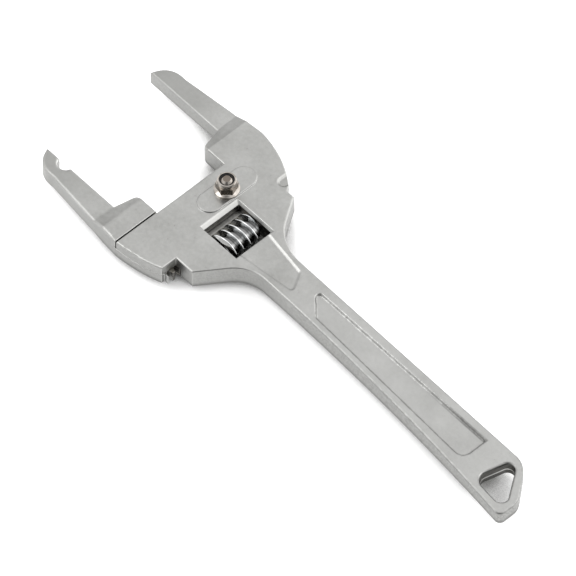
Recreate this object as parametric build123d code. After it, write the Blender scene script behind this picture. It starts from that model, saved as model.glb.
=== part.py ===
from build123d import *
import math
import os

# Adjustable wide-jaw wrench lying on its back, in millimetres.
# X points to the jaw tips, Y to the movable jaw and Z out of the front face.
# While it is drawn, X = 0 is the throat, Y = 0 the middle of the mouth and Z = 0 the back face.
# At the end every piece moves together, so that the origin is under the middle of the whole wrench.

# Head
head_thickness = 10.0
plate_thickness = 4.6
edge_round = 0.7

# Mouth: two inner blocks, and two fingers that stand further apart
block_gap = 35.4
block_reach = 11.8
block_lean = 2.6
block_corner_round = 2.5
finger_gap = 55.4
finger_reach = 53.9
finger_thickness = 7.6
finger_front_drop = 1.6
finger_root_width = 10.7
finger_tip_width = 8.1
finger_root_reach = 16.3
nose_length = 12.6
nose_lean = 3.4
nose_round = 9.5
ramp_foot_reach = 14.7
ramp_length = 5.4
hook_radius = 3.4
hook_depth = 3.2
hook_setback = 10.7

# Cheeks, ears and neck, as distances back from the throat and out from the middle
cheek_start = 1.0
cheek_overhang = 1.3
cheek_round = 8.0
cheek_bulge = 2.1
cheek_end_setback = 25.5
cheek_end_half_width = 29.6
step_setback = 27.3
step_round = 2.0
plate_corner_half_width = 35.2
plate_bulge = 0.9
notch_setback = 21.7
ear_half_width = 27.4
ear_tip_margin = 2.0
neck_left = 8.65
neck_right = 7.7
neck_left_angle = 55.0
neck_right_angle = 57.0
neck_left_round = 16.3
neck_right_round = 21.0
neck_run = 4.3
neck_join_tolerance = 0.002

# Handle
handle_setback = 199.2
handle_left = 17.8
handle_bow = 1.85
handle_right = 7.2
handle_end_thickness = 6.7
end_slant_length = 12.0
end_slant_width = 14.7
end_heel_round = 10.5
end_back_round = 8.0
end_toe_round = 2.5

# Hanging hole, measured from the end of the handle and in from its edges
hole_front = 20.8
hole_point = 15.6
hole_back = 0.2
hole_front_margin = 5.3
hole_back_margin = 3.7
hole_point_overrun = 0.1
hole_round = 3.2
hole_front_round = 4.4
hole_draft = 5.0
hole_rim_round = 1.0

# Sunk panels
panel_depth = 1.0
panel_draft = 40.0
panel_round = 2.0
handle_panel_start = 72.2
handle_panel_slant = 8.2
handle_panel_step = 3.0
handle_panel_end = 169.5
handle_panel_left_margin = 2.6
handle_panel_end_margin = 4.6
handle_panel_right_margin = 3.6
handle_panel_end_round = 4.5
neck_panel_depth = 0.6
neck_panel_draft = 62.0
neck_panel_half_width = 8.4
neck_panel_left_setback = 66.0
neck_panel_left_end = 4.95
neck_panel_right_setback = 60.3
neck_panel_right_end = 4.7

# Groove in the edge of the fixed cheek
groove_setback = 22.8
groove_width = 5.6
groove_depth = 0.9
groove_draft = 50.0
groove_inner = 26.7

# Worm and rack
worm_setback = 29.2
worm_radius = 7.7
worm_length = 15.9
worm_end_clearance = 0.3
thread_pitch = 3.8
thread_start = 0.72
thread_depth = 2.9
thread_crest = 0.6
thread_crown = 0.2
thread_flank_angle = 15.0
thread_root_sink = 0.4
mesh_gap = 0.5
mesh_backlash = 0.25
pin_radius = 1.6
pin_fit = 0.02
pin_bearing_gap = 0.08
pin_recess = 0.6
pin_blind_depth = 5.0
pin_chamfer = 0.4
window_offset = 0.2
window_front_setback = 18.45
window_back_gap = 0.35
window_bevel_depth = 1.3
window_front_bevel = 1.95
window_back_bevel = 0.8
window_left_bevel = 0.4
window_right_bevel = 1.05

# Worm spring
spring_wire = 0.55
spring_turns = 2
spring_pitch = 0.98
spring_pin_gap = 0.35
spring_seat_gap = 0.05
spring_samples = 400

# Sliding shank of the movable jaw
slide_gap = 0.2
shank_recess = 0.4
shank_front_gap = 0.3
channel_gap = 0.5
rack_end_inset = 1.5
jaw_back_gap = 0.7
jaw_travel = 20.8

# Clamping bolt, nut and washer
bolt_setback = 10.6
bolt_offset = -10.0
bolt_radius = 2.5
bolt_hole_gap = 0.15
bolt_fit = 0.02
bolt_head_height = 3.5
bolt_head_across = 8.0
bolt_end_height = 0.4
bolt_end_chamfer = 0.9
slot_gap = 0.25
slot_end_gap = 0.4
washer_radius = 6.0
washer_thickness = 1.0
washer_gap = 0.15
pad_length = 28.7
pad_width = 10.5
pad_height = 0.6
pad_round = 0.4
nut_height = 6.5
nut_across = 8.0
nut_turn = -12.5
nut_flange_radius = 5.3
nut_flange_rim = 0.8
nut_flange_rise = 0.7
nut_hex_height = 4.6
nut_collar_radius = 3.95
nut_lip_radius = 3.6
nut_lip_thickness = 0.4
insert_height = 1.5

# Levels and places that follow from the sizes above
head_half_width = finger_gap / 2 + finger_root_width + cheek_overhang
middle_z = head_thickness / 2
plate_back = head_thickness - plate_thickness
shank_front = plate_back - slide_gap
worm_root_radius = worm_radius - thread_depth
rack_crest_x = -worm_setback + worm_root_radius + mesh_gap
rack_root_x = -worm_setback + worm_radius + mesh_gap
channel_back_x = rack_crest_x - channel_gap
spring_height = spring_turns * spring_pitch + spring_wire
spring_space = spring_height + 2 * spring_seat_gap
window_width = worm_length + worm_end_clearance + spring_space
window_left = window_offset + window_width / 2
window_right = window_left - window_width
window_front_x = -window_front_setback
window_back_x = -worm_setback - worm_radius - window_back_gap
worm_start = window_right + spring_space
ear_tip_x = -worm_setback - ear_tip_margin
ramp_top_x = ramp_foot_reach - ramp_length
finger_front = head_thickness - finger_front_drop
finger_back = finger_front - finger_thickness
bolt_axis = Location((-bolt_setback, bolt_offset, 0))
pad_top = head_thickness + pad_height
everywhere = 4 * handle_setback


def neck_round_end(half_width, angle, radius):
    """How far behind the throat the round of one side of the neck runs into the handle."""
    slant = math.radians(angle)
    corner = -ear_tip_x + (ear_half_width - half_width) / math.tan(slant)
    return corner + radius * math.tan(slant / 2)


neck_left_end = neck_round_end(neck_left, neck_left_angle, neck_left_round)
neck_right_end = neck_round_end(neck_right, neck_right_angle, neck_right_round)
neck_setback = max(neck_left_end, neck_right_end) + neck_run


def near(shape, x, y):
    """The vertex of a flat shape that is closest to a point."""
    return shape.vertices().sort_by_distance(Vector(x, y, 0))[0]


def prism(face, low, high):
    """A flat outline at Z = 0, raised between two levels."""
    return Pos(0, 0, low) * extrude(face, high - low, dir=(0, 0, 1))


def block(x_low, x_high, y_low, y_high, z_low, z_high):
    """A box between two corners."""
    size = Box(x_high - x_low, y_high - y_low, z_high - z_low, align=Align.MIN)
    return Pos(x_low, y_low, z_low) * size


def oblong(x_low, x_high, y_low, y_high):
    """A flat rectangle between two corners."""
    centre = Pos((x_low + x_high) / 2, (y_low + y_high) / 2)
    return centre * Rectangle(x_high - x_low, y_high - y_low)


def round_edges(solid, radius, chosen):
    """Rounds the edges of a solid for which a test of the edge is true."""
    return fillet(solid.edges().filter_by(chosen), radius)


def level(edge):
    """True for an edge that doesn't stand upright."""
    return abs((edge @ 1 - edge @ 0).Z) < 0.5 * edge.length


# Outlines

def handle_left_edge():
    """The bowed left edge of the handle, from the neck to its end."""
    return SagittaArc((-neck_setback, neck_left), (-handle_setback, handle_left), handle_bow)


def handle_left_at(x):
    """How far the handle's left edge stands out at one place along it."""
    share = (-neck_setback - x) / (handle_setback - neck_setback)
    return (handle_left_edge() @ share).Y


def handle_outline():
    """The handle, with its slanted and rounded end."""
    left = handle_left_edge()
    heel = (-handle_setback + end_slant_length, -handle_right)
    back = (-handle_setback, end_slant_width - handle_right)
    toe = (-handle_setback, handle_left)
    rest = Polyline(toe, back, heel, (-neck_setback, -neck_right), (-neck_setback, neck_left))
    face = make_face([left, *rest.edges()])
    face = fillet(near(face, *heel), end_heel_round)
    face = fillet(near(face, *back), end_back_round)
    return fillet(near(face, *toe), end_toe_round)


def finger_outline():
    """One finger on the +Y side, from inside its block to the rounded nose."""
    inner = finger_gap / 2
    outer = inner + finger_tip_width
    inside_x = block_reach / 2
    tip = (finger_reach - nose_lean, outer)
    root = (finger_root_reach, inner + finger_root_width)
    face = make_face(
        Polyline(
            (inside_x, inner),
            (finger_reach, inner),
            tip,
            (finger_reach - nose_length, outer),
            root,
            (inside_x, root[1]),
            close=True,
        )
    )
    return fillet(near(face, *tip), nose_round)


def jaw_front(side):
    """Corners of one jaw's block, from the throat round to the start of the cheek."""
    lean = 2 * block_lean / (finger_gap - block_gap)
    inside_finger = (finger_gap + finger_root_width) / 2
    return [
        (0, side * block_gap / 2),
        (block_reach, side * block_gap / 2),
        (block_reach + lean * (inside_finger - block_gap / 2), side * inside_finger),
        (finger_root_reach, side * (finger_gap / 2 + finger_root_width)),
        (cheek_start, side * head_half_width),
    ]


def neck_corner(side, half_width, slope, angle):
    """Where the line of the handle's edge meets the slanted edge that runs in from one ear."""
    rise = side * math.tan(math.radians(angle))
    offset = side * (half_width - ear_half_width) + slope * neck_setback + rise * ear_tip_x
    x = offset / (rise - slope)
    return (x, side * half_width + slope * (x + neck_setback))


def head_outline():
    """The whole head with both blocks, as far back as the handle."""
    plate_corner = (-notch_setback, plate_corner_half_width)
    ear_left = (ear_tip_x, ear_half_width)
    ear_right = (ear_tip_x, -ear_half_width)
    step_outer = (-cheek_end_setback, -cheek_end_half_width)
    step_inner = (-step_setback, -ear_half_width)
    left_front = jaw_front(1)
    right_front = jaw_front(-1)
    left_run = handle_left_edge() % 0
    left_slope = left_run.Y / left_run.X
    right_slope = (handle_right - neck_right) / (handle_setback - end_slant_length - neck_setback)
    left_corner = neck_corner(1, neck_left, left_slope, neck_left_angle)
    right_corner = neck_corner(-1, neck_right, right_slope, neck_right_angle)
    back = Polyline(
        plate_corner,
        (-notch_setback, ear_half_width),
        ear_left,
        left_corner,
        (-neck_setback, neck_left),
        (-neck_setback, -neck_right),
        right_corner,
        ear_right,
        step_inner,
        step_outer,
    )
    edges = [
        *Polyline(*left_front).edges(),
        SagittaArc(left_front[-1], plate_corner, -plate_bulge),
        *back.edges(),
        SagittaArc(step_outer, right_front[-1], -cheek_bulge),
        *Polyline(*reversed(right_front)).edges(),
        Line(right_front[0], left_front[0]),
    ]
    face = make_face(edges)
    face = fillet(near(face, *left_corner), neck_left_round)
    face = fillet(near(face, *right_corner), neck_right_round)
    face = fillet(near(face, *step_outer), step_round)
    for side in (1, -1):
        face = fillet(near(face, block_reach, side * block_gap / 2), block_corner_round)
        face = fillet(near(face, cheek_start, side * head_half_width), cheek_round)
    return face


# Solids that the body and the jaw share

def ramped(solid):
    """Slopes both faces of the blocks down to the thickness of the fingers."""
    front_fall = math.degrees(math.atan2(finger_front_drop, ramp_length))
    back_rise = math.degrees(math.atan2(finger_back, ramp_length))
    front = Plane((ramp_top_x, 0, head_thickness)).rotated((0, front_fall, 0))
    back = Plane((ramp_top_x, 0, 0)).rotated((0, -back_rise, 0))
    solid = split(solid, bisect_by=front, keep=Keep.BOTTOM)
    return split(solid, bisect_by=back, keep=Keep.TOP)


def whole_head():
    """Head with both blocks, as one solid with rounded rims, before it is parted."""
    solid = ramped(prism(head_outline(), 0, head_thickness))
    at_handle = -neck_setback
    return round_edges(
        solid,
        edge_round,
        lambda edge: level(edge) and abs(edge.center().X - at_handle) > edge_round,
    )


def finger():
    """The finger on the +Y side, thinner than the head."""
    return round_edges(prism(finger_outline(), finger_back, finger_front), edge_round, level)


# Body

def handle_face(side):
    """Plane of the handle's tapered front (1) or back (-1) face, with X along the handle."""
    fall = (head_thickness - handle_end_thickness) / 2 / (handle_setback - neck_setback)
    origin = (-neck_setback, 0, middle_z + side * middle_z)
    return Plane(origin, x_dir=(1, 0, side * fall), z_dir=(-fall, 0, side))


def hole_outline():
    """The three-cornered hanging hole at the end of the handle."""
    front = (-handle_setback + hole_front, handle_left - hole_front_margin)
    point = (-handle_setback + hole_point, -handle_right - hole_point_overrun)
    back = (-handle_setback + hole_back, handle_left - hole_back_margin)
    face = make_face(Polyline(front, point, back, close=True))
    face = fillet([near(face, *point), near(face, *back)], hole_round)
    return fillet(near(face, *front), hole_front_round)


def hanging_hole():
    """The hole, narrowing from both faces to a ridge half way through, as the piece to cut away."""
    half = Pos(0, 0, middle_z) * extrude(hole_outline(), -middle_z, dir=(0, 0, 1), taper=hole_draft)
    return Pos(0, 0, middle_z) * (half + mirror(half, about=Plane.XY))


def handle():
    """The handle with its hanging hole, thinner towards the end."""
    solid = prism(handle_outline(), 0, head_thickness)
    solid = split(solid, bisect_by=handle_face(1), keep=Keep.BOTTOM)
    solid = split(solid, bisect_by=handle_face(-1), keep=Keep.BOTTOM)
    at_neck = -neck_setback
    solid = round_edges(
        solid,
        edge_round,
        lambda edge: level(edge) and abs(edge.center().X - at_neck) > edge_round,
    )
    hole = hanging_hole()
    holed = solid - hole
    return fillet(new_edges(solid, hole, combined=holed), hole_rim_round)


def handle_panel(side):
    """The sunk panel on one face of the handle, as the piece to cut away."""
    start = -handle_panel_start
    slant = start - handle_panel_slant
    end = -handle_panel_end
    right = handle_panel_right_margin - handle_right
    tail = (end, handle_left_at(end) - handle_panel_end_margin)
    corners = [
        (end, right),
        (start, right),
        (start, right + handle_panel_step),
        (slant, handle_left_at(slant) - handle_panel_left_margin),
    ]
    face = make_face(Polyline(*corners, tail, close=True))
    face = fillet([near(face, *corner) for corner in corners], panel_round)
    face = fillet(near(face, *tail), handle_panel_end_round)
    if side < 0:
        face = mirror(face, about=Plane.XZ)
    cut = extrude(face, -panel_depth, dir=(0, 0, 1), taper=panel_draft)
    return handle_face(side).location * Pos(neck_setback, 0, 0) * cut


def neck_panel():
    """The sunk panel behind the worm window, as the piece to cut away from the front face."""
    start = window_back_x + neck_panel_depth * math.tan(math.radians(neck_panel_draft))
    left = (-neck_panel_left_setback, neck_panel_left_end)
    right = (-neck_panel_right_setback, -neck_panel_right_end)
    first = (start, neck_panel_half_width)
    last = (start, -neck_panel_half_width)
    face = make_face(Polyline(first, left, right, last, close=True))
    face = fillet([near(face, *left), near(face, *right)], panel_round)
    cut = extrude(face, -neck_panel_depth, dir=(0, 0, 1), taper=neck_panel_draft)
    return Pos(0, 0, head_thickness) * cut


def window():
    """The worm window through the head, with bevelled rims, as the piece to cut away."""
    opening = oblong(window_back_x, window_front_x, window_right, window_left)
    rim = oblong(
        window_back_x - window_back_bevel,
        window_front_x + window_front_bevel,
        window_right - window_right_bevel,
        window_left + window_left_bevel,
    )
    bevel = loft([Pos(0, 0, -window_bevel_depth) * opening, rim], ruled=True)
    front_bevel = Pos(0, 0, head_thickness) * bevel
    back_bevel = mirror(bevel, about=Plane.XY)
    return prism(opening, -1, head_thickness + 1) + front_bevel + back_bevel


def cheek_groove():
    """The shallow round-ended groove in the edge of the fixed cheek, as the piece to cut away."""
    length = head_half_width - groove_inner
    centre = Pos(-groove_setback, -groove_inner - length / 2)
    face = centre * Rot(0, 0, 90) * SlotOverall(length, groove_width)
    return Pos(0, 0, head_thickness) * extrude(face, -groove_depth, dir=(0, 0, 1), taper=groove_draft)


def along_y(radius, y_low, y_high):
    """A round bar on the worm's axis."""
    bar = Cylinder(radius, y_high - y_low, align=(Align.CENTER, Align.CENTER, Align.MIN))
    return Pos(-worm_setback, y_low, middle_z) * Rot(-90, 0, 0) * bar


def along_z(radius, z_low, z_high):
    """A round bar on the bolt's axis."""
    bar = Cylinder(radius, z_high - z_low, align=(Align.CENTER, Align.CENTER, Align.MIN))
    return bolt_axis * Pos(0, 0, z_low) * bar


def clamp_pad():
    """The raised pad under the nut."""
    pad = prism(Rot(0, 0, 90) * SlotOverall(pad_length, pad_width), plate_back, pad_top)
    return bolt_axis * fillet(pad.edges().group_by(Axis.Z)[-1], pad_round)


def wrench_body(head):
    """Handle, neck, front plate and fixed jaw in one casting."""
    mouth = block(0, everywhere, -block_gap / 2, everywhere, -everywhere, everywhere)
    channel = block(channel_back_x, 0, -everywhere, everywhere, -everywhere, plate_back)
    body = head - mouth - channel
    body += mirror(finger(), about=Plane.XZ)
    body = body.fuse(handle(), tol=neck_join_tolerance)
    body += clamp_pad()
    body -= handle_panel(1)
    body -= handle_panel(-1)
    body -= neck_panel()
    body -= window()
    body -= cheek_groove()
    body -= along_y(pin_radius + pin_fit, -head_half_width, window_left + pin_blind_depth)
    body -= along_z(bolt_radius + bolt_hole_gap, 0, pad_top + pad_height)
    return body


# Movable jaw

def hook():
    """The half-round notch in the movable finger, as the piece to cut away."""
    centre_y = finger_gap / 2 + hook_depth - hook_radius
    bar = Cylinder(hook_radius, 2 * head_thickness)
    return Pos(finger_reach - hook_setback, centre_y, middle_z) * bar


def shank_outline():
    """The flat shank under the front plate, with its neck to the block, before it is cut."""
    head = head_outline()
    depth = -shank_front_gap - rack_crest_x
    band = Pos(-shank_front_gap - depth / 2, 0) * Rectangle(depth, 2 * everywhere)
    lip_width = plate_corner_half_width - rack_end_inset
    lip_depth = -notch_setback - rack_crest_x + shank_front_gap
    lip = Pos(rack_crest_x, 0) * Rectangle(lip_depth, lip_width, align=Align.MIN)
    neck_depth = 2 * (shank_front_gap + jaw_back_gap)
    neck_band = Pos(0, block_gap / 2) * Rectangle(neck_depth, everywhere, align=(Align.CENTER, Align.MIN))
    return (head & band) + lip + (head & neck_band)


def rack_groove(number):
    """One groove of the rack, leaning as the worm's thread does, as the piece to cut away."""
    spread = math.tan(math.radians(thread_flank_angle))
    root_width = thread_crest - 2 * mesh_gap * spread + 2 * mesh_backlash
    overrun = thread_depth
    mouth_x = rack_crest_x - overrun
    mouth_width = root_width + 2 * (rack_root_x - mouth_x) * spread
    face = make_face(
        Polyline(
            (rack_root_x, root_width / 2),
            (mouth_x, mouth_width / 2),
            (mouth_x, -mouth_width / 2),
            (rack_root_x, -root_width / 2),
            close=True,
        )
    )
    pitch_radius = worm_radius - thread_depth / 2
    lean = thread_pitch / (2 * math.pi * pitch_radius)
    centre_y = worm_start + thread_start + number * thread_pitch
    rise = Vector(0, -lean, 1) * head_thickness
    cut = extrude(face, rise.length, dir=rise)
    return Pos(0, centre_y + lean * middle_z, 0) * cut


def shank_slot():
    """The slot that lets the shank slide past the bolt, as the piece to cut away."""
    half_width = bolt_radius + slot_gap
    open_y = bolt_offset - jaw_travel - slot_end_gap
    shut_y = bolt_offset + slot_end_gap
    face = Pos(-bolt_setback, (open_y + shut_y) / 2) * Rot(0, 0, 90) * SlotCenterToCenter(
        shut_y - open_y, 2 * half_width
    )
    return prism(face, -head_thickness, head_thickness)


def movable_jaw(head):
    """Sliding jaw: block and hooked finger in front of the plate, racked shank behind it."""
    corner = block(jaw_back_gap, everywhere, block_gap / 2, everywhere, -everywhere, everywhere)
    jaw = (head & corner) + finger() - hook()
    shank = prism(shank_outline(), shank_recess, shank_front) - shank_slot()
    first = math.floor((-head_half_width - worm_start) / thread_pitch)
    last = math.ceil((plate_corner_half_width - worm_start) / thread_pitch)
    for number in range(first, last + 1):
        shank -= rack_groove(number)
    return jaw + shank


# Worm drive

def adjusting_worm():
    """Right-hand worm with a crowned crest, bored for its pin."""
    spread = math.tan(math.radians(thread_flank_angle))
    inner = worm_root_radius - thread_root_sink
    base = thread_crest / 2 + (worm_radius - thread_crown - inner) * spread
    shoulder = worm_radius - thread_crown
    section = make_face(
        [
            Line((inner, 0, -base), (shoulder, 0, -thread_crest / 2)),
            ThreePointArc(
                (shoulder, 0, -thread_crest / 2), (worm_radius, 0, 0), (shoulder, 0, thread_crest / 2)
            ),
            Line((shoulder, 0, thread_crest / 2), (inner, 0, base)),
            Line((inner, 0, base), (inner, 0, -base)),
        ]
    )
    path = Helix(thread_pitch, worm_length + 2 * thread_pitch, worm_root_radius)
    ridge = Pos(0, 0, thread_start - thread_pitch) * sweep(section, path, is_frenet=True)
    upright = (Align.CENTER, Align.CENTER, Align.MIN)
    ridge &= Cylinder(2 * worm_radius, worm_length, align=upright)
    worm = ridge + Cylinder(worm_root_radius, worm_length, align=upright)
    worm -= Cylinder(pin_radius + pin_bearing_gap, worm_length, align=upright)
    return Pos(-worm_setback, worm_start, middle_z) * Rot(-90, 0, 0) * worm


def worm_pin():
    """The plain pin that the worm turns on."""
    pin = along_y(pin_radius, pin_recess - ear_half_width, window_left + pin_blind_depth)
    return chamfer(pin.edges().filter_by(GeomType.CIRCLE), pin_chamfer)


def worm_spring():
    """Coil spring round the pin, from the window's right wall to the worm: a tube on biarcs."""
    radius = pin_radius + spring_pin_gap + spring_wire / 2
    quarter_rise = spring_pitch / 4

    def point(quarter):
        angle = quarter * math.pi / 2
        return Vector(radius * math.cos(angle), radius * math.sin(angle), quarter * quarter_rise)

    def tangent(quarter):
        angle = quarter * math.pi / 2
        run = radius * math.pi / 2
        return Vector(-run * math.sin(angle), run * math.cos(angle), quarter_rise).normalized()

    arcs = []
    for quarter in range(4 * spring_turns):
        start, end = point(quarter), point(quarter + 1)
        first, last = tangent(quarter), tangent(quarter + 1)
        chord = end - start
        both = first + last
        bend = 2 * (1 - first.dot(last))
        reach = (-chord.dot(both) + math.sqrt(chord.dot(both) ** 2 + bend * chord.dot(chord))) / bend
        joint = (start + end + (first - last) * reach) * 0.5
        arcs.append(TangentArc(start, joint, tangent=first))
        arcs.append(TangentArc(joint, end, tangent=arcs[-1] % 1))
    path = Wire(arcs)
    tube = sweep(Plane(path @ 0, z_dir=path % 0) * Circle(spring_wire / 2), path)
    samples = [path @ (number / spring_samples) for number in range(spring_samples + 1)]
    half_turn = spring_samples // (2 * spring_turns)
    gap = min(
        (a - b).length - spring_wire
        for number, a in enumerate(samples)
        for b in samples[number + half_turn :]
    )
    print("worm spring: least gap between its turns", round(gap, 3), "mm")
    seat = window_right + spring_seat_gap + spring_wire / 2
    return Pos(-worm_setback, seat, middle_z) * Rot(-90, 0, 0) * tube


# Clamping bolt

def hexagon(across, low, high):
    """A six-sided prism on the bolt's axis."""
    return bolt_axis * prism(RegularPolygon(across / 2, 6, major_radius=False), low, high)


def retaining_bolt():
    """Hexagon bolt with its head on the back of the wrench."""
    top = pad_top + nut_height + bolt_end_height
    seat = shank_recess - washer_gap - washer_thickness
    shaft = along_z(bolt_radius, seat, top)
    shaft = chamfer(shaft.edges().group_by(Axis.Z)[-1], bolt_end_chamfer)
    crown = Cone(
        bolt_head_across / 2, bolt_head_across / 2 + bolt_head_height * 2, bolt_head_height * 2,
        align=(Align.CENTER, Align.CENTER, Align.MIN),
    )
    low = seat - bolt_head_height
    bolt_head = hexagon(bolt_head_across, low, seat) & (bolt_axis * Pos(0, 0, low) * crown)
    return shaft + bolt_head


def back_washer():
    """Washer between the bolt's head and the shank."""
    top = shank_recess - washer_gap
    return along_z(washer_radius, top - washer_thickness, top) - along_z(
        bolt_radius + bolt_hole_gap, top - washer_thickness, top
    )


def lock_nut():
    """Flange nut with a collar that holds the locking ring."""
    top = pad_top + nut_height
    hex_top = pad_top + nut_hex_height
    rim_top = pad_top + nut_flange_rim
    profile = make_face(
        Polyline(
            (0, pad_top),
            (nut_flange_radius, pad_top),
            (nut_flange_radius, rim_top),
            (nut_across / 2, rim_top + nut_flange_rise),
            (nut_collar_radius, rim_top + nut_flange_rise),
            (nut_collar_radius, top - nut_lip_thickness),
            (nut_lip_radius, top),
            (0, top),
            close=True,
        )
    )
    turned = bolt_axis * revolve(Plane.XZ * profile, Axis.Z)
    turn = bolt_axis * Rot(0, 0, nut_turn) * bolt_axis.inverse()
    nut = turned + turn * hexagon(nut_across, pad_top, hex_top)
    nut -= along_z(bolt_radius + bolt_fit, pad_top, top)
    return nut - along_z(nut_lip_radius - nut_lip_thickness, top - insert_height, top)


def nut_insert():
    """The locking ring in the nut's collar."""
    top = pad_top + nut_height
    ring = along_z(nut_lip_radius - nut_lip_thickness, top - insert_height, top - nut_lip_thickness)
    return ring - along_z(bolt_radius + bolt_fit, top - insert_height, top)


# All the pieces, moved so that the origin is under the middle of the wrench

def main():
    """Builds every piece and writes one file for each."""
    head = whole_head()
    pieces = {
        "wrench_body": wrench_body(head),
        "movable_jaw": movable_jaw(head),
        "adjusting_worm": adjusting_worm(),
        "worm_pin": worm_pin(),
        "worm_spring": worm_spring(),
        "retaining_bolt": retaining_bolt(),
        "back_washer": back_washer(),
        "lock_nut": lock_nut(),
        "nut_insert": nut_insert(),
    }
    boxes = [piece.bounding_box() for piece in pieces.values()]
    low = [min(tuple(box.min)[axis] for box in boxes) for axis in range(3)]
    high = [max(tuple(box.max)[axis] for box in boxes) for axis in range(3)]
    shift = Pos(-(low[0] + high[0]) / 2, -(low[1] + high[1]) / 2, -low[2])
    os.makedirs("parts", exist_ok=True)
    for name, piece in pieces.items():
        export_step(shift * piece, f"parts/{name}.step")
    print("size", [round(high[axis] - low[axis], 2) for axis in range(3)])
    print("throat, middle of the mouth and back face at", [round(value, 4) for value in shift.position])


main()
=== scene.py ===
# %% [markdown]
# # An adjustable wide-jaw wrench
#
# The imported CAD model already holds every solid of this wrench: the cast body, the sliding jaw, the
# worm with its pin and spring, and the bolt with its washer, nut and locking ring. This lesson gives
# them their finishes, and sets the light and the camera of a plain catalogue picture.

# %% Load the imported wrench
import math
import bmesh
import bpy
from mathutils import Matrix, Vector


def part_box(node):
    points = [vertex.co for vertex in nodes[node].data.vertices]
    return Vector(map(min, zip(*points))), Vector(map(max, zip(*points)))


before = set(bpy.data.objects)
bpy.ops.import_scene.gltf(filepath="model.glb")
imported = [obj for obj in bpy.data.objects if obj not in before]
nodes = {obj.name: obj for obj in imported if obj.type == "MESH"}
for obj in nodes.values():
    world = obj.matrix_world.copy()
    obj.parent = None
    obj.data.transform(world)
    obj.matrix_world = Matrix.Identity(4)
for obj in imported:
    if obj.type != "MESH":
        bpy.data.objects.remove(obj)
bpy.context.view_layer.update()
print("pieces:", ", ".join(sorted(nodes)))


# %% [markdown]
# ## Places on the wrench
#
# Several finishes follow a part of the wrench: rings round the bolt, lines round the worm, painted shade
# in the hanging hole. The places are measured on the imported solids, or given as an offset from one of
# them.

# %% Measure the solids
def middle_of(node):
    low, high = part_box(node)
    return (low + high) / 2


worm_low, worm_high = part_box("adjusting_worm")
worm_axis = middle_of("adjusting_worm")
worm_radius = (worm_high.z - worm_low.z) / 2
bolt_axis = middle_of("retaining_bolt")
nut_low, nut_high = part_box("lock_nut")
jaw_low, jaw_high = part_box("movable_jaw")
handle_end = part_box("wrench_body")[0].x
face_height = jaw_high.z
middle_height = (jaw_low.z + jaw_high.z) / 2
half_thickness = face_height - middle_height
print("worm axis", worm_axis, "bolt axis", bolt_axis, "front face at", face_height)


# %% [markdown]
# The handle starts at the neck and its faces fall towards the end by a fixed slope. Each box below is
# written as its low corner and its high corner, and a finish fades out just past it.

# %% Name the boxes that the casting's finish follows
neck_x = worm_axis.x - 0.0308
handle_fall = 0.0119
finger_x = worm_axis.x + 0.0450
box_top = 0.03
under_bevel = face_height - 0.0014

hanging_hole = (
    (handle_end + 0.0025, -0.0050, 0.0),
    (handle_end + 0.0217, 0.0150, box_top),
)
panel_corner = (
    (handle_end + 0.0297, -0.0037, middle_height),
    (handle_end + 0.0660, -0.0024, face_height),
)
right_ear = (
    (worm_axis.x - 0.020, -0.040, 0.0),
    (worm_axis.x + 0.0022, -0.0125, box_top),
)
left_finger = (
    (worm_axis.x + 0.0330, 0.0, 0.0),
    (jaw_high.x + 0.01, 0.10, box_top),
)
window_walls = (
    (worm_axis.x - 0.0083, worm_low.y - 0.0031, 0.0),
    (worm_axis.x + 0.0112, worm_high.y + 0.0007, under_bevel),
)
rack_teeth = (
    (worm_axis.x, jaw_low.y - 0.001, 0.0),
    (worm_axis.x + 0.0086, jaw_high.y - 0.0085, under_bevel),
)
print("neck at", round(neck_x, 4), "and handle end at", round(handle_end, 4))


# %% [markdown]
# ## The camera
#
# The picture is taken from high on the wrench's left, over the end of the handle, with a long lens, so
# parallel edges stay parallel. The camera is placed with the three axes of the view, which say where
# the picture's right, its top and the camera itself lie, and it looks at one point of the wrench.

# %% Set the camera
view_right = Vector((-0.6757, -0.7373, 0.0)).normalized()
view_back = Vector((-0.435, 0.399, 0.808)).normalized()
view_up = view_back.cross(view_right).normalized()
view_right = view_up.cross(view_back)
looked_at = Vector((0.01027, 0.00459, 0.01407))
camera_distance = 8.0
picture_width = 576
pixels_per_metre = 2531.0

lens = bpy.data.cameras.new("catalogue_camera")
lens.sensor_width = 36.0
lens.lens = pixels_per_metre * camera_distance / picture_width * lens.sensor_width
lens.clip_end = 100.0
camera = bpy.data.objects.new("catalogue_camera", lens)
turn = Matrix((view_right, view_up, view_back)).transposed().to_4x4()
camera.matrix_world = Matrix.Translation(looked_at + view_back * camera_distance) @ turn
bpy.context.scene.collection.objects.link(camera)
bpy.context.scene.camera = camera
bpy.context.scene.view_settings.view_transform = "Standard"
print("lens", round(lens.lens, 1), "mm at", camera_distance, "m")


# %% [markdown]
# ## Wiring helpers
#
# A finish is a small tree of shader nodes. These helpers add a node with its settings and join its
# output to the next one, which keeps each finish short enough to read from top to bottom. A value may
# be a number or the output of another node.

# %% Helpers that add a node
def add(tree, kind, inputs=None, **settings):
    made = tree.nodes.new("ShaderNode" + kind)
    for name, value in settings.items():
        setattr(made, name, value)
    for name, value in (inputs or {}).items():
        if hasattr(value, "is_linked"):
            tree.links.new(value, made.inputs[name])
        else:
            made.inputs[name].default_value = value
    return made


def new_finish(name):
    material = bpy.data.materials.new(name)
    material.use_nodes = True
    tree = material.node_tree
    shader = tree.nodes["Principled BSDF"]
    place = add(tree, "TexCoord").outputs["Object"]
    return material, tree, shader, place


def dress(node, material):
    mesh = nodes[node].data
    mesh.materials.clear()
    mesh.materials.append(material)
    print(node, "takes", material.name)


print("node helpers ready")


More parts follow.
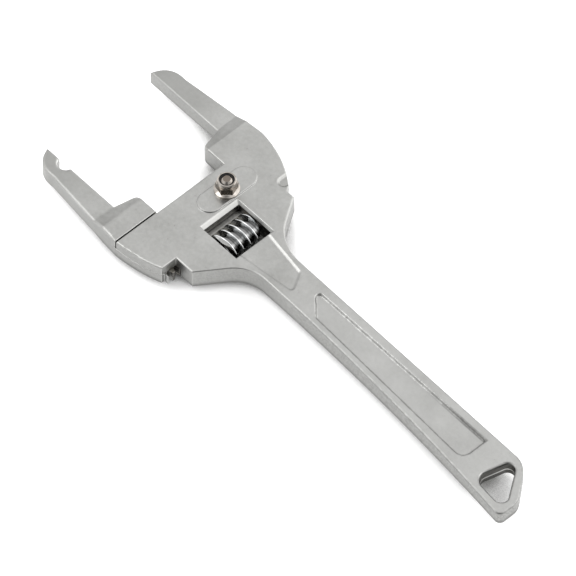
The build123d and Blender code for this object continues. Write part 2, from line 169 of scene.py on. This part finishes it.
# %% [markdown]
# The arithmetic of a mask is a chain of Math nodes. A mask is 0 where a finish is absent and 1 where it
# is full: `between` makes one from a measure, and `scaled` turns a mask into another range.

# %% Helpers for sums and masks
def math_node(tree, operation, *values):
    return add(tree, "Math", dict(enumerate(values)), operation=operation).outputs[0]


def plus(tree, first, *others):
    for other in others:
        first = math_node(tree, "ADD", first, other)
    return first


def times(tree, first, *others):
    for other in others:
        first = math_node(tree, "MULTIPLY", first, other)
    return first


def minus(tree, first, second):
    return math_node(tree, "SUBTRACT", first, second)


def larger(tree, first, second):
    return math_node(tree, "MAXIMUM", first, second)


def unsigned(tree, value):
    return math_node(tree, "ABSOLUTE", value)


def between(tree, value, low, high, to_low=0.0, to_high=1.0):
    made = add(
        tree,
        "MapRange",
        {"Value": value, "From Min": low, "From Max": high, "To Min": to_low, "To Max": to_high},
        clamp=True,
    )
    return made.outputs["Result"]


def scaled(tree, mask, at_zero, at_one):
    return between(tree, mask, 0.0, 1.0, at_zero, at_one)


print("mask helpers ready")


# %% [markdown]
# Colours are built up like paint: `mixed` blends two, and `painted` lays one colour over another, layer
# by layer, each with its own mask. A Mix node takes its share at socket 0 and its two colours at 6 and
# 7, and gives the blend at output 2. `height_of` reads how far up a place lies or a direction points,
# and `along` how far two directions agree.

# %% Helpers for colour, grain and direction
def mixed(tree, share, first, second):
    made = add(tree, "Mix", {0: share, 6: first, 7: second}, data_type="RGBA")
    return made.outputs[2]


def painted(tree, colour, layers):
    for share, paint in layers:
        colour = mixed(tree, share, colour, paint)
    return colour


def noise(tree, place, scale, detail=2.0, roughness=0.5):
    made = add(
        tree,
        "TexNoise",
        {"Vector": place, "Scale": scale, "Detail": detail, "Roughness": roughness},
    )
    return made.outputs["Fac"]


def height_of(tree, vector):
    return add(tree, "SeparateXYZ", {"Vector": vector}).outputs["Z"]


def along(tree, first, second):
    made = add(tree, "VectorMath", {0: first, 1: second}, operation="DOT_PRODUCT")
    return made.outputs["Value"]


print("colour helpers ready")


# %% [markdown]
# ## The floor
#
# The wrench lies on a plain white sheet. A large flat grid is enough, with a faint paper grain so that
# it is not one flat colour, and a little glow of its own, painted light that keeps the sheet white.
#
# The glow fades and the paper greys, as painted shade, where the sheet is closed in on both sides, as in
# the hanging hole.
# Two Ambient Occlusion nodes measure that, one leaning to each side. Beside a single wall one of them
# still looks into the open, so the sheet stays white there.

# %% Lay the floor
half_width = 12.0
sky_reach = 0.02
ray_samples = 8
full_glow = 0.50
shaded_paper = (0.27, 0.267, 0.255, 1.0)

floor_mesh = bpy.data.meshes.new("white_sheet")
sheet = bmesh.new()
bmesh.ops.create_grid(sheet, x_segments=1, y_segments=1, size=half_width)
sheet.to_mesh(floor_mesh)
sheet.free()
floor = bpy.data.objects.new("white_sheet", floor_mesh)
bpy.context.scene.collection.objects.link(floor)

paper, tree, shader, place = new_finish("white_paper")
grain = noise(tree, place, scale=900.0, detail=3.0)
tone = mixed(tree, grain, (0.93, 0.93, 0.93, 1.0), (0.96, 0.96, 0.96, 1.0))
tree.links.new(tone, shader.inputs["Emission Color"])


def open_towards(aim):
    leaning = add(tree, "CombineXYZ", dict(zip("XYZ", aim))).outputs["Vector"]
    inputs = {"Distance": sky_reach, "Normal": leaning}
    return add(tree, "AmbientOcclusion", inputs, samples=ray_samples).outputs["AO"]


# Painted shade and painted light: the paper greys and its glow fades where both leaning nodes find the
# sheet closed in.
under_sky = larger(tree, open_towards((-0.48, 0.72, 0.50)), open_towards((0.48, -0.72, 0.50)))
tone = mixed(tree, between(tree, under_sky, 0.66, 0.82), shaded_paper, tone)
glow = between(tree, under_sky, 0.60, 0.82, 0.0, full_glow)
tree.links.new(tone, shader.inputs["Base Color"])
tree.links.new(glow, shader.inputs["Emission Strength"])
shader.inputs["Roughness"].default_value = 0.9
shader.inputs["Specular IOR Level"].default_value = 0.1
floor_mesh.materials.append(paper)
print("floor", tuple(round(v, 2) for v in floor.dimensions))


# %% [markdown]
# ## The light
#
# Bright metal shows its surroundings more than its own colour, so the surroundings are laid out with
# care. The wrench lies in a white tent: a bright roof all round, brighter still on the wrench's right,
# a little dimmer ahead of the jaws, and dim low down on the side of the camera, where the tent is open,
# and round the camera itself. The dim parts give the edges on that side their dark hairlines. Each part
# is a smooth mask over the direction of view.

# %% Hang the white tent
world = bpy.data.worlds.new("white_tent")
world.use_nodes = True
bpy.context.scene.world = world
tree = world.node_tree
background = tree.nodes["Background"]
direction = add(tree, "TexCoord").outputs["Generated"]
height = height_of(tree, direction)


def towards(aim, low, high):
    return between(tree, along(tree, direction, Vector(aim).normalized()), low, high)


low_down = between(tree, height, 0.66, 0.40)
open_side = times(tree, towards((-0.80, 0.60, 0.0), 0.30, 0.65), low_down)
camera_slit = towards((-0.46, 0.46, 0.76), 0.86, 0.95)
right_wall = towards((-0.35, -0.88, 0.32), 0.80, 0.95)
ahead = towards((0.805, -0.399, 0.441), 0.90, 0.98)
dim = larger(tree, open_side, camera_slit)

roof = between(tree, height, 0.10, 0.70, 1.03, 1.22)
level = plus(tree, roof, right_wall)
level = times(tree, level, scaled(tree, ahead, 1.0, 0.70), scaled(tree, dim, 1.0, 0.18))
tree.links.new(level, background.inputs["Color"])
background.inputs["Strength"].default_value = 1.0
print("tent of", len(tree.nodes), "nodes")


# %% [markdown]
# Two soft boxes add the bright lines. One stands close, ahead of the jaws on the wrench's left, and
# lights the head and the edges of the handle. The other stands behind the handle's right. Radiance is
# the brightness of a box's face, and the energy of an area light is four times its area times that.

# %% Stand the soft boxes
energy_per_radiance = 4.0


def soft_box(name, place, aim, width, height, radiance):
    light = bpy.data.lights.new(name, "AREA")
    light.shape = "RECTANGLE"
    light.size = width
    light.size_y = height
    light.energy = energy_per_radiance * width * height * radiance
    lamp = bpy.data.objects.new(name, light)
    away = Vector(place) - Vector(aim)
    facing = away.to_track_quat("Z", "Y").to_matrix().to_4x4()
    lamp.matrix_world = Matrix.Translation(place) @ facing
    lamp.visible_camera = False
    bpy.context.scene.collection.objects.link(lamp)
    print(name, "energy", round(light.energy, 3), "W")


soft_box(
    "front_soft_box",
    place=(0.29, 0.27, 0.48),
    aim=(0.03, 0.0, 0.015),
    width=0.24,
    height=0.34,
    radiance=2.0,
)
soft_box(
    "rear_soft_box",
    place=(-0.60, -0.42, 0.74),
    aim=(0.0, 0.0, 0.01),
    width=0.5,
    height=0.5,
    radiance=1.15,
)


# %% [markdown]
# ## The plated casting
#
# The body and the jaw are castings, tumbled smooth and plated with a satin silver finish. The plate is
# metal, so the shader is fully metallic; its grey, its gloss and its fine skin all vary a little. The
# finish is made in steps: masks that follow the place, masks that follow the surface, grains, colours,
# gloss and skin.
#
# The first masks follow the place. They find the handle, the fingers, the sunk panels, the foot of the
# walls, the hanging hole, the end of the handle's panel that gets painted shade, the places of wide
# rounds and the grease and painted shade round the worm. The mask of the hole ends at a slanted line, so
# the wall beyond that line stays bright.

# %% Masks that follow the place
handle_blend = 0.02
finger_blend = 0.03
panel_shade_blend = 0.022
slant_x = -0.812
slant_y = -0.584
slant_end = 0.0963


def within(tree, axes, box, fade):
    sides = []
    for axis, low, high in zip("XYZ", *box):
        sides.append(between(tree, axes.outputs[axis], low - fade, low))
        sides.append(between(tree, axes.outputs[axis], high, high + fade, 1.0, 0.0))
    return times(tree, *sides)


def place_masks(tree, place, wide_round_box, grease_and_shade_box):
    axes = add(tree, "SeparateXYZ", {"Vector": place})
    x, y, z = (axes.outputs[axis] for axis in "XYZ")
    behind_neck = larger(tree, minus(tree, neck_x, x), 0.0)
    half = minus(tree, half_thickness, times(tree, behind_neck, handle_fall))
    off_middle = unsigned(tree, minus(tree, z, middle_height))
    depth = minus(tree, half, off_middle)
    sunk = between(tree, depth, 0.0003, 0.0005)
    shallow = between(tree, depth, 0.0016, 0.0019, 1.0, 0.0)
    above_back = minus(tree, half, minus(tree, middle_height, z))
    slant = plus(tree, times(tree, x, slant_x), times(tree, y, slant_y))
    before_slant = between(tree, slant, slant_end, slant_end + 0.0002, 1.0, 0.0)
    panel_shade_start = panel_corner[1][0]
    panel_shade_grows = between(tree, x, panel_shade_start, panel_shade_start - panel_shade_blend)
    return {
        "on_handle": between(tree, behind_neck, 0.0, handle_blend),
        "on_finger": between(tree, x, finger_x, finger_x + finger_blend),
        "panel": times(tree, sunk, shallow),
        "foot": between(tree, above_back, 0.0006, 0.0026, 1.0, 0.0),
        "at_middle": between(tree, off_middle, 0.00022, 0.00038, 1.0, 0.0),
        "hole": times(tree, within(tree, axes, hanging_hole, 0.0002), before_slant),
        "panel_end_shade": times(tree, within(tree, axes, panel_corner, 0.0004), panel_shade_grows),
        "wide_round": within(tree, axes, wide_round_box, 0.002),
        "grease_and_shade": within(tree, axes, grease_and_shade_box, 0.0002),
        "height": z,
    }


print("place masks ready")


# %% [markdown]
# The next masks follow the surface. A Bevel node bends the normal near an edge, and how far it is bent
# marks the edge. The bend is wider on the handle, and wider still in the places of wide rounds. How
# level a face lies tells walls and slopes from flat faces, and Ambient Occlusion finds the narrow gaps.

# %% Masks that follow the surface
head_round = 0.0006
handle_round = 0.0010
gap_reach = 0.0030


def surface_masks(tree, places, wide_round_radius):
    rounding = scaled(tree, places["on_handle"], head_round, handle_round)
    rounding = larger(tree, rounding, times(tree, places["wide_round"], wide_round_radius))
    soft_edge = add(tree, "Bevel", {"Radius": rounding}, samples=ray_samples).outputs["Normal"]
    true_face = add(tree, "NewGeometry").outputs["Normal"]
    agreement = along(tree, soft_edge, true_face)
    level = unsigned(tree, height_of(tree, true_face))
    tilted = times(tree, between(tree, level, 0.992, 0.96), between(tree, level, 0.10, 0.30))
    gaps = add(tree, "AmbientOcclusion", {"Distance": gap_reach}, samples=ray_samples)
    open_air = gaps.outputs["AO"]
    in_the_open = between(tree, open_air, 0.88, 0.97)
    return {
        "soft_edge": soft_edge,
        "edge": between(tree, agreement, 0.985, 0.85),
        "near_edge": larger(tree, between(tree, agreement, 0.998, 0.96), tilted),
        "outer_slope": times(tree, tilted, in_the_open, places["on_handle"]),
        "wall": between(tree, level, 0.55, 0.25),
        "hole_wall": times(tree, places["hole"], between(tree, level, 0.75, 0.45)),
        "gap": between(tree, open_air, 0.45, 0.10),
    }


print("surface masks ready")


# %% [markdown]
# The grains are noise of several sizes, given as scale, detail and roughness. Clouds are the slow drift
# of the plate, mottle and speckle its patches, grit the skin of the walls, and sand the fine grain that
# stands in for the sand of the mould.

# %% Grains
grain_sizes = {
    "clouds": (70.0, 3.0, 0.5),
    "mottle": (620.0, 3.0, 0.5),
    "speckle": (520.0, 4.0, 0.65),
    "grit": (1200.0, 3.0, 0.6),
    "sand": (2600.0, 2.0, 0.6),
}
drift_shares = {"clouds": 0.45, "mottle": 0.30, "sand": 0.25}


def casting_grains(tree, place):
    grains = {name: noise(tree, place, *size) for name, size in grain_sizes.items()}
    drift = plus(tree, *(times(tree, grains[name], share) for name, share in drift_shares.items()))
    grains["drift"] = between(tree, drift, 0.3, 0.7)
    grains["speckle"] = between(tree, grains["speckle"], 0.44, 0.56)
    grains["grit"] = between(tree, grains["grit"], 0.35, 0.65)
    return grains


print("grains:", ", ".join(grain_sizes))


# %% [markdown]
# The plate is a drifting grey, a little darker on the fingers and lighter on the handle. The walls are
# gritty, most of all on the handle, and smooth where the edges have wide rounds. The walls are also
# painted darker than the faces, as painted shade for the dimmer floor that they mirror. Their foot is
# painted darker still, as painted shade where they mirror the floor's shadow, and the walls of the
# hanging hole are painted dark, as painted shade inside the hole.

# %% Colours of the faces and walls
plate_tones = ((0.320, 0.320, 0.308, 1.0), (0.480, 0.480, 0.468, 1.0))
finger_tone = (0.29, 0.29, 0.279, 1.0)
handle_tone = (0.53, 0.53, 0.52, 1.0)
# Painted shade: both wall tones below are darker than the faces; the grit between them is the walls'
# own.
gritty_wall_shade_tones = ((0.230, 0.230, 0.223, 1.0), (0.370, 0.370, 0.359, 1.0))
smooth_wall_shade_tones = ((0.275, 0.275, 0.267, 1.0), (0.335, 0.335, 0.325, 1.0))
# Painted shade at the foot of the walls, where they mirror the floor's shadow.
wall_foot_shade = (0.10, 0.10, 0.096, 1.0)
# Painted shade on the walls of the hanging hole.
hole_wall_shade = (0.07, 0.068, 0.062, 1.0)


def face_colour(tree, places, surface, grains):
    plate = mixed(tree, grains["drift"], *plate_tones)
    gritty_wall_shade = mixed(tree, grains["grit"], *gritty_wall_shade_tones)
    smooth_wall_shade = mixed(tree, grains["drift"], *smooth_wall_shade_tones)
    smooth = larger(tree, places["wide_round"], scaled(tree, places["on_handle"], 0.6, 0.0))
    wall_foot = times(tree, surface["wall"], places["foot"])
    layers = (
        (times(tree, places["on_finger"], 0.5), finger_tone),
        (times(tree, places["on_handle"], 0.30), handle_tone),
        (surface["wall"], mixed(tree, smooth, gritty_wall_shade, smooth_wall_shade)),
        (times(tree, wall_foot, 0.75), wall_foot_shade),
        (times(tree, surface["hole_wall"], 0.85), hole_wall_shade),
    )
    return painted(tree, plate, layers)


print("face colours ready")


# %% [markdown]
# Edges are painted bright, partly as rubbed wear and partly as painted highlight, and brightest where
# the edges have wide rounds, which is painted highlight. On the handle painted shade breaks the bright
# line into dashes and dims it on the open outer slopes. A painted highlight marks the ridge where the
# two halves of the mould met, round the middle of the hole's wall.

# %% Colours of the edges
# Partly rubbed wear, partly painted highlight on the edges.
edge_wear_and_highlight = (0.54, 0.54, 0.527, 1.0)
# Painted highlight where the edges have wide rounds.
wide_round_highlight = (0.70, 0.70, 0.685, 1.0)
# Painted shade that breaks and dims the edge highlights on the handle.
edge_shade = (0.22, 0.22, 0.213, 1.0)
# Painted highlight on the parting line in the hanging hole.
mould_ridge_highlight = (0.62, 0.62, 0.605, 1.0)


def edge_colour(tree, colour, places, surface, grains):
    broken = times(tree, grains["speckle"], places["on_handle"], surface["near_edge"])
    layers = (
        (times(tree, surface["edge"], 0.75), mixed(tree, places["wide_round"], edge_wear_and_highlight, wide_round_highlight)),
        (times(tree, surface["outer_slope"], 0.45), edge_shade),
        (times(tree, broken, 0.5), edge_shade),
        (times(tree, surface["hole_wall"], places["at_middle"]), mould_ridge_highlight),
    )
    return painted(tree, colour, layers)


print("edge colours ready")


# %% [markdown]
# Last come the dirt, the grease and more painted shade. The end of the handle's panel is painted dark,
# as painted shade for a darker reflection there. The narrow gaps are browner and darker, partly brown
# dirt and partly painted shade. Round the worm the metal is black, partly with old grease and partly
# with painted shade in the recess, streaked in thin level bands.

# %% Colours of the dirt
# Painted shade: a darker reflection painted on the end of the handle's panel.
panel_end_shade = (0.14, 0.14, 0.134, 1.0)
# Partly brown dirt, partly painted shade in the narrow gaps that Ambient Occlusion finds.
gap_dirt_and_shade = (0.15, 0.135, 0.115, 1.0)
# Partly old grease, partly painted shade in the recess round the worm.
grease_and_shade_tones = ((0.042, 0.040, 0.037, 1.0), (0.19, 0.180, 0.158, 1.0))
streak_gap = 0.0013


def dirt_colour(tree, colour, places, surface, grains, panel_end_shading):
    greasy_and_shaded = times(tree, places["grease_and_shade"], between(tree, grains["mottle"], 0.25, 0.6, 0.70, 1.0))
    streak = math_node(tree, "SINE", times(tree, places["height"], math.tau / streak_gap))
    film = mixed(tree, between(tree, streak, 0.2, 0.9), *grease_and_shade_tones)
    return painted(tree, colour, ((panel_end_shading, panel_end_shade), (surface["gap"], gap_dirt_and_shade), (greasy_and_shaded, film)))


print("dirt colours ready")


# %% [markdown]
# The gloss drifts with the mottle. Panels and walls are duller, edges a little shinier. The skin is a
# bump: slow swells, fine sand that is coarser in the panels and on the walls, where tumbling does not
# reach, and small dents along the edges of the handle. The bump is weaker under the painted shade at the
# end of the panel.

# %% Gloss and skin of the casting
skin_depth = 0.0001


def casting_gloss(tree, surface, grains, coarse):
    gloss = between(tree, grains["mottle"], 0.25, 0.75, 0.27, 0.37)
    gloss = plus(tree, gloss, times(tree, coarse, 0.07))
    return minus(tree, gloss, times(tree, surface["edge"], 0.06))


def casting_skin(tree, places, surface, grains, coarse, panel_end_shading):
    dents = times(tree, surface["edge"], places["on_handle"])
    skin = plus(
        tree,
        times(tree, grains["sand"], scaled(tree, coarse, 0.16, 0.50)),
        times(tree, grains["mottle"], scaled(tree, dents, 0.40, 1.2)),
        times(tree, grains["clouds"], 1.6),
    )
    uneven = times(tree, larger(tree, surface["edge"], surface["wall"]), places["on_handle"])
    filled = between(tree, panel_end_shading, 0.0, 0.5, 1.0, 0.4)
    strength = times(tree, scaled(tree, uneven, 0.40, 0.9), filled)
    bump = add(
        tree,
        "Bump",
        {
            "Height": skin,
            "Normal": surface["soft_edge"],
            "Strength": strength,
            "Distance": skin_depth,
        },
    )
    return bump.outputs["Normal"]


print("gloss and skin ready")


# %% [markdown]
# Now the steps are put together. Each casting is given its own place of wide rounds, with the round of
# its edges there, and its own box of grease and painted shade: the window's walls on the body, and the
# rack's teeth on the jaw.

# %% Finish of the body and the jaw
def cast_plate(name, wide_round_radius, wide_round_box, grease_and_shade_box):
    material, tree, shader, place = new_finish(name)
    places = place_masks(tree, place, wide_round_box, grease_and_shade_box)
    surface = surface_masks(tree, places, wide_round_radius)
    grains = casting_grains(tree, place)
    # Painted shade on the end of the handle's panel, mottled.
    panel_end_shading = times(tree, places["panel_end_shade"], between(tree, grains["mottle"], 0.35, 0.65, 0.55, 0.85))
    coarse = larger(tree, places["panel"], surface["wall"])

    colour = face_colour(tree, places, surface, grains)
    colour = edge_colour(tree, colour, places, surface, grains)
    colour = dirt_colour(tree, colour, places, surface, grains, panel_end_shading)
    gloss = casting_gloss(tree, surface, grains, coarse)
    skin = casting_skin(tree, places, surface, grains, coarse, panel_end_shading)
    tree.links.new(colour, shader.inputs["Base Color"])
    tree.links.new(gloss, shader.inputs["Roughness"])
    tree.links.new(skin, shader.inputs["Normal"])
    shader.inputs["Metallic"].default_value = 1.0
    return material


body_round = 0.0018
jaw_round = 0.0020
dress("wrench_body", cast_plate("plated_body", body_round, right_ear, window_walls))
dress("movable_jaw", cast_plate("plated_jaw", jaw_round, left_finger, rack_teeth))


# %% [markdown]
# ## Turned steel
#
# The worm, the pin and the bolt with its nut and washer get the finish of turned steel. Fine lines run
# round the axis of each. They follow the distance from that axis, which a Mapping node brings to the
# origin, and the colour and the gloss drift in small patches.

# %% Finish of a turned piece
line_depth = 0.00002


def turned_steel(name, centre, axis, colours, gloss, line_gap, line_share):
    material, tree, shader, place = new_finish(name)
    moved = add(tree, "Mapping", {"Vector": place, "Location": -Vector(centre)}).outputs["Vector"]
    axes = add(tree, "SeparateXYZ", {"Vector": moved})
    across = [axes.outputs[other] for other in "XYZ" if other != axis]
    squares = [times(tree, length, length) for length in across]
    radius = math_node(tree, "SQRT", plus(tree, *squares))
    travelled = plus(tree, radius, axes.outputs[axis])
    wander = noise(tree, place, scale=900.0)
    line = math_node(tree, "SINE", plus(tree, times(tree, travelled, math.tau / line_gap), wander))
    patches = noise(tree, place, scale=420.0, detail=3.0)
    colour = mixed(tree, between(tree, patches, 0.3, 0.7), *colours)
    bump = add(tree, "Bump", {"Height": line, "Strength": line_share, "Distance": line_depth})
    tree.links.new(colour, shader.inputs["Base Color"])
    tree.links.new(between(tree, patches, 0.3, 0.7, *gloss), shader.inputs["Roughness"])
    tree.links.new(bump.outputs["Normal"], shader.inputs["Normal"])
    shader.inputs["Metallic"].default_value = 1.0
    return material, tree, shader, radius, colour


print("turned steel ready")


# %% [markdown]
# ## The worm
#
# The worm is polished and chromed, so it is far brighter and sharper than the casting. The root of its
# thread is painted dark, partly as grease and partly as painted shade in the deep groove.

# %% Finish of the worm
# Partly grease, partly painted shade at the root of the thread.
worm_root_grease_and_shade = (0.07, 0.067, 0.063, 1.0)
chrome, tree, shader, radius, colour = turned_steel(
    "polished_chrome",
    worm_axis,
    "Y",
    colours=((0.70, 0.71, 0.72, 1.0), (0.80, 0.81, 0.81, 1.0)),
    gloss=(0.09, 0.17),
    line_gap=0.00022,
    line_share=0.10,
)
root_dark_starts = worm_radius - 0.0021
root_dark_full = worm_radius - 0.0027
thread_root = between(tree, radius, root_dark_starts, root_dark_full)
colour = mixed(tree, times(tree, thread_root, 0.72), colour, worm_root_grease_and_shade)
tree.links.new(colour, shader.inputs["Base Color"])
dress("adjusting_worm", chrome)


# %% [markdown]
# ## The clamping bolt, its nut and its washer
#
# These are plain steel with a warm tint. The end of the bolt and the six flats of the nut are painted
# darker and browner than the rest, as painted shade where they lie in the shade of the collar and the
# flange.

# %% Finish of the bolt, nut and washer
# Painted shade on the bolt's end and on the nut's flats, in the shade of the collar and the flange.
bolt_end_shade = (0.12, 0.095, 0.075, 1.0)
nut_flat_shade = (0.15, 0.125, 0.10, 1.0)
steel, tree, shader, radius, colour = turned_steel(
    "fastener_steel",
    bolt_axis,
    "Z",
    colours=((0.33, 0.300, 0.27, 1.0), (0.48, 0.450, 0.415, 1.0)),
    gloss=(0.10, 0.20),
    line_gap=0.00030,
    line_share=0.16,
)
bolt_end_radius = 0.0015
flats_top = nut_high.z - 0.0016
flats_foot = nut_low.z + 0.0010
bolt_end = between(tree, radius, bolt_end_radius, bolt_end_radius + 0.0002, 1.0, 0.0)
height = height_of(tree, add(tree, "TexCoord").outputs["Object"])
level = unsigned(tree, height_of(tree, add(tree, "NewGeometry").outputs["Normal"]))
nut_flat = times(
    tree,
    between(tree, level, 0.30, 0.15),
    between(tree, height, flats_top, flats_top - 0.0002),
    between(tree, height, flats_foot, flats_foot + 0.0002),
)
layers = (
    (times(tree, bolt_end, 0.8), bolt_end_shade),
    (times(tree, nut_flat, 0.85), nut_flat_shade),
)
tree.links.new(painted(tree, colour, layers), shader.inputs["Base Color"])
for node in ("lock_nut", "retaining_bolt", "back_washer"):
    dress(node, steel)


# %% [markdown]
# ## The worm's pin and spring
#
# The pin is ground bar and the spring is drawn wire. They get a plain grey steel with fine lines round
# the pin's axis.

# %% Finish of the pin and the spring
ground = turned_steel(
    "pin_steel",
    worm_axis,
    "Y",
    colours=((0.40, 0.40, 0.40, 1.0), (0.52, 0.52, 0.51, 1.0)),
    gloss=(0.20, 0.30),
    line_gap=0.00018,
    line_share=0.12,
)[0]
dress("worm_pin", ground)
dress("worm_spring", ground)


# %% [markdown]
# ## The nut's locking ring
#
# A dark nylon ring sits in the nut and grips the end of the bolt. Nylon is not a metal: it gets a dark
# base with a soft sheen and a slightly uneven moulded skin.

# %% Finish of the locking ring
nylon, tree, shader, place = new_finish("dark_nylon")
skin = noise(tree, place, scale=2200.0)
tone = mixed(tree, skin, (0.010, 0.010, 0.011, 1.0), (0.020, 0.019, 0.019, 1.0))
bump = add(tree, "Bump", {"Height": skin, "Strength": 0.3, "Distance": 0.00003})
tree.links.new(tone, shader.inputs["Base Color"])
tree.links.new(between(tree, skin, 0.3, 0.7, 0.38, 0.52), shader.inputs["Roughness"])
tree.links.new(bump.outputs["Normal"], shader.inputs["Normal"])
shader.inputs["Specular IOR Level"].default_value = 0.2
dress("nut_insert", nylon)
